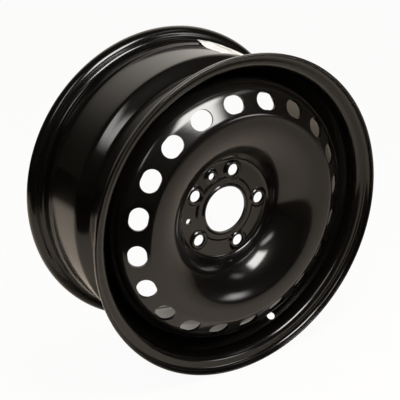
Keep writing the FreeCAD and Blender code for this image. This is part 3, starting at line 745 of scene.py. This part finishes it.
class WHEEL_OT_stage(bpy.types.Operator):
    """Set the floor, the light and the camera"""
    bl_idname = "wheel.stage"
    bl_label = "Stage"

    def fade_out(self, nodes, links, across, softness):
        """A lamp's brightness from 1 over its middle to 0 at its two ends, along one of its sides."""
        middle = 0.5
        offset = math_node(nodes, "SUBTRACT")
        offset.inputs[1].default_value = middle
        away = math_node(nodes, "ABSOLUTE")
        fade = soft_range(nodes, middle - softness, middle)
        fade.inputs["To Min"].default_value = 1.0
        fade.inputs["To Max"].default_value = 0.0
        links.new(across, offset.inputs[0])
        links.new(offset.outputs[0], away.inputs[0])
        links.new(away.outputs[0], fade.inputs["Value"])
        return fade.outputs["Result"]

    def add_softbox(self, name, direction, reach, width, height, power, mirrored=True, softness=0.3):
        """A rectangular lamp with soft edges that looks at the wheel from a direction."""
        lamp = bpy.data.lights.new(name, "AREA")
        lamp.shape = "RECTANGLE"
        lamp.size = width
        lamp.size_y = height
        lamp.energy = power
        lamp.color = bpy.context.scene.wheel_stage.lamp_colour
        lamp.use_nodes = True
        nodes = lamp.node_tree.nodes
        links = lamp.node_tree.links
        place = nodes.new("ShaderNodeNewGeometry")
        sides = nodes.new("ShaderNodeSeparateXYZ")
        both = math_node(nodes, "MULTIPLY")
        links.new(place.outputs["Parametric"], sides.inputs["Vector"])
        links.new(self.fade_out(nodes, links, sides.outputs["X"], softness), both.inputs[0])
        links.new(self.fade_out(nodes, links, sides.outputs["Y"], softness), both.inputs[1])
        links.new(both.outputs[0], nodes["Emission"].inputs["Strength"])
        box = bpy.data.objects.new(name, lamp)
        away = Vector(direction).normalized()
        box.location = away * reach
        box.rotation_mode = "QUATERNION"
        box.rotation_quaternion = (-away).to_track_quat("-Z", "Y")
        box.visible_glossy = mirrored
        bpy.context.scene.collection.objects.link(box)

    def beyond(self, nodes, links, direction, distance, softness):
        """How far a place on the floor lies beyond an edge, from 0 to 1."""
        place = nodes.new("ShaderNodeTexCoord")
        along = along_way(nodes, direction)
        edge = soft_range(nodes, distance - softness, distance + softness)
        links.new(place.outputs["Object"], along.inputs[0])
        links.new(along.outputs["Value"], edge.inputs["Value"])
        return edge.outputs["Result"]

    def make_floor(self, look, level):
        """A pale floor, white to the camera, whose reflection turns to painted dark in front of the wheel
        and behind it.
        """
        bm = bmesh.new()
        bmesh.ops.create_grid(bm, x_segments=1, y_segments=1, size=FLOOR_REACH)
        bmesh.ops.translate(bm, verts=bm.verts[:], vec=(0.0, 0.0, level))
        floor = into_object(bm, "studio_floor")
        pale = bpy.data.materials.new("pale_floor")
        pale.use_nodes = True
        nodes = pale.node_tree.nodes
        links = pale.node_tree.links
        shader = nodes["Principled BSDF"]
        shader.inputs["Base Color"].default_value = (*look.floor_colour, 1.0)
        shader.inputs["Roughness"].default_value = FLOOR_ROUGHNESS
        shader.inputs["Specular IOR Level"].default_value = 0.0
        # Painted reflection: beyond the edges glossy rays see the floor in this dark colour, while other
        # rays see it pale.
        dark = nodes.new("ShaderNodeBsdfDiffuse")
        dark.inputs["Color"].default_value = FLOOR_REFLECTED_DARK
        rays = nodes.new("ShaderNodeLightPath")
        towards_camera = (math.sin(look.azimuth), -math.cos(look.azimuth), 0.0)
        ahead = self.beyond(nodes, links, towards_camera, look.floor_edge, FLOOR_EDGE_SOFT)
        behind = self.beyond(nodes, links, FLOOR_BACK_WAY, look.floor_back, FLOOR_BACK_SOFT)
        outside = math_node(nodes, "MAXIMUM")
        mirrored = math_node(nodes, "MULTIPLY")
        ends = nodes.new("ShaderNodeMixShader")
        glow = nodes.new("ShaderNodeEmission")
        glow.inputs["Color"].default_value = WHITE
        glow.inputs["Strength"].default_value = 1.0
        share = math_node(nodes, "MULTIPLY")
        share.inputs[1].default_value = FLOOR_WHITE
        blend = nodes.new("ShaderNodeMixShader")
        links.new(ahead, outside.inputs[0])
        links.new(behind, outside.inputs[1])
        links.new(outside.outputs[0], mirrored.inputs[0])
        links.new(rays.outputs["Is Glossy Ray"], mirrored.inputs[1])
        links.new(mirrored.outputs[0], ends.inputs["Fac"])
        links.new(shader.outputs["BSDF"], ends.inputs[1])
        links.new(dark.outputs["BSDF"], ends.inputs[2])
        links.new(rays.outputs["Is Camera Ray"], share.inputs[0])
        links.new(share.outputs[0], blend.inputs["Fac"])
        links.new(ends.outputs["Shader"], blend.inputs[1])
        links.new(glow.outputs["Emission"], blend.inputs[2])
        links.new(blend.outputs["Shader"], nodes["Material Output"].inputs["Surface"])
        floor.data.materials.append(pale)

    def make_world(self, look):
        """White to the camera; to everything else a dim room with a lighter wall behind the wheel."""
        world = bpy.data.worlds.new("white_studio")
        bpy.context.scene.world = world
        world.use_nodes = True
        nodes = world.node_tree.nodes
        links = world.node_tree.links
        room = nodes["Background"]
        room.inputs["Strength"].default_value = 1.0
        seen = nodes.new("ShaderNodeBackground")
        seen.inputs["Color"].default_value = WHITE
        seen.inputs["Strength"].default_value = 1.0
        place = nodes.new("ShaderNodeTexCoord")
        towards_wall = along_way(nodes, WALL_WAY)
        wall = soft_range(nodes, WALL_START, WALL_FULL)
        tone = nodes.new("ShaderNodeMix")
        tone.data_type = "RGBA"
        tone.inputs["A"].default_value = (*look.room_colour, 1.0)
        tone.inputs["B"].default_value = (*look.wall_colour, 1.0)
        links.new(place.outputs["Generated"], towards_wall.inputs[0])
        links.new(towards_wall.outputs["Value"], wall.inputs["Value"])
        links.new(wall.outputs["Result"], tone.inputs["Factor"])
        links.new(tone.outputs["Result"], room.inputs["Color"])
        rays = nodes.new("ShaderNodeLightPath")
        blend = nodes.new("ShaderNodeMixShader")
        links.new(rays.outputs["Is Camera Ray"], blend.inputs["Fac"])
        links.new(room.outputs["Background"], blend.inputs[1])
        links.new(seen.outputs["Background"], blend.inputs[2])
        links.new(blend.outputs["Shader"], nodes["World Output"].inputs["Surface"])

    def make_camera(self, look, middle):
        """A camera at the photograph's angle, aimed from the middle of the front lip."""
        right = Vector((math.cos(look.azimuth), math.sin(look.azimuth), 0.0))
        back = Vector((math.sin(look.azimuth) * math.cos(look.elevation),
                       -math.cos(look.azimuth) * math.cos(look.elevation), math.sin(look.elevation)))
        up = back.cross(right)
        lens = bpy.data.cameras.new("photo_camera")
        lens.sensor_width = SENSOR_WIDTH
        lens.lens = look.lens
        lens.clip_start = NEAREST_SEEN
        lens.clip_end = FARTHEST_SEEN
        camera = bpy.data.objects.new("photo_camera", lens)
        bpy.context.scene.collection.objects.link(camera)
        camera.rotation_mode = "QUATERNION"
        camera.rotation_quaternion = Matrix((right, up, back)).transposed().to_quaternion()
        camera.location = middle + right * look.aside + up * look.lift + back * look.distance
        bpy.context.scene.camera = camera

    def execute(self, context):
        look = context.scene.wheel_stage
        rim = context.scene.wheel_rim
        crest = context.scene.wheel_disc.crest
        self.make_floor(look, -rim.lip_radius)
        self.make_world(look)
        self.add_softbox("floor_light", (0.1, 0.15, 1.0), reach=2.5, width=1.5, height=1.5, power=31.0,
                         mirrored=False)
        self.add_softbox("floor_light_left", (-0.5, 0.65, 0.57), reach=1.5, width=0.6, height=0.6,
                         power=12.0, mirrored=False)
        self.add_softbox("softbox_left", (-0.626, -0.417, 0.659), reach=1.378, width=0.34, height=0.9,
                         power=6.5, softness=0.4)
        self.add_softbox("softbox_above", (-0.045, -0.652, 0.758), reach=0.575, width=0.36, height=0.27,
                         power=6.4, softness=0.25)
        self.add_softbox("softbox_right", (0.50, -0.52, 0.69), reach=2.6, width=1.2, height=0.7, power=6.0,
                         softness=0.5)
        self.add_softbox("softbox_low", (0.53, -0.82, 0.07), reach=1.5, width=0.42, height=0.46, power=4.6,
                         softness=0.45)
        self.make_camera(look, Vector((0.0, -crest, 0.0)))
        context.scene.view_settings.view_transform = "Standard"
        return {"FINISHED"}


class WHEEL_PT_panel(bpy.types.Panel):
    """Lists the pieces of the wheel"""
    bl_idname = "WHEEL_PT_panel"
    bl_label = "Steel wheel"
    bl_space_type = "VIEW_3D"
    bl_region_type = "UI"
    bl_category = "Wheel"

    def draw(self, context):
        for operator in OPERATORS:
            self.layout.operator(operator.bl_idname)


OPERATORS = (WHEEL_OT_rim, WHEEL_OT_disc, WHEEL_OT_welds, WHEEL_OT_label, WHEEL_OT_stage)
GROUPS = {
    "wheel_rim": WheelRimSizes,
    "wheel_disc": WheelDiscSizes,
    "wheel_weld": WheelWeldSizes,
    "wheel_label": WheelLabelSizes,
    "wheel_paint": WheelPaintLook,
    "wheel_stage": WheelStageLook,
}


def register():
    """Make the sizes, operators and panel known."""
    for name, group in GROUPS.items():
        bpy.utils.register_class(group)
        setattr(bpy.types.Scene, name, bpy.props.PointerProperty(type=group))
    for made in (*OPERATORS, WHEEL_PT_panel):
        bpy.utils.register_class(made)


def unregister():
    """Take the panel, operators and sizes away again."""
    for made in (WHEEL_PT_panel, *reversed(OPERATORS)):
        bpy.utils.unregister_class(made)
    for name, group in GROUPS.items():
        delattr(bpy.types.Scene, name)
        bpy.utils.unregister_class(group)


def main():
    """Build the wheel and its stage."""
    register()
    bpy.ops.wheel.rim()
    bpy.ops.wheel.disc()
    bpy.ops.wheel.welds()
    bpy.ops.wheel.label()
    bpy.ops.wheel.stage()


if __name__ == "__main__":
    main()
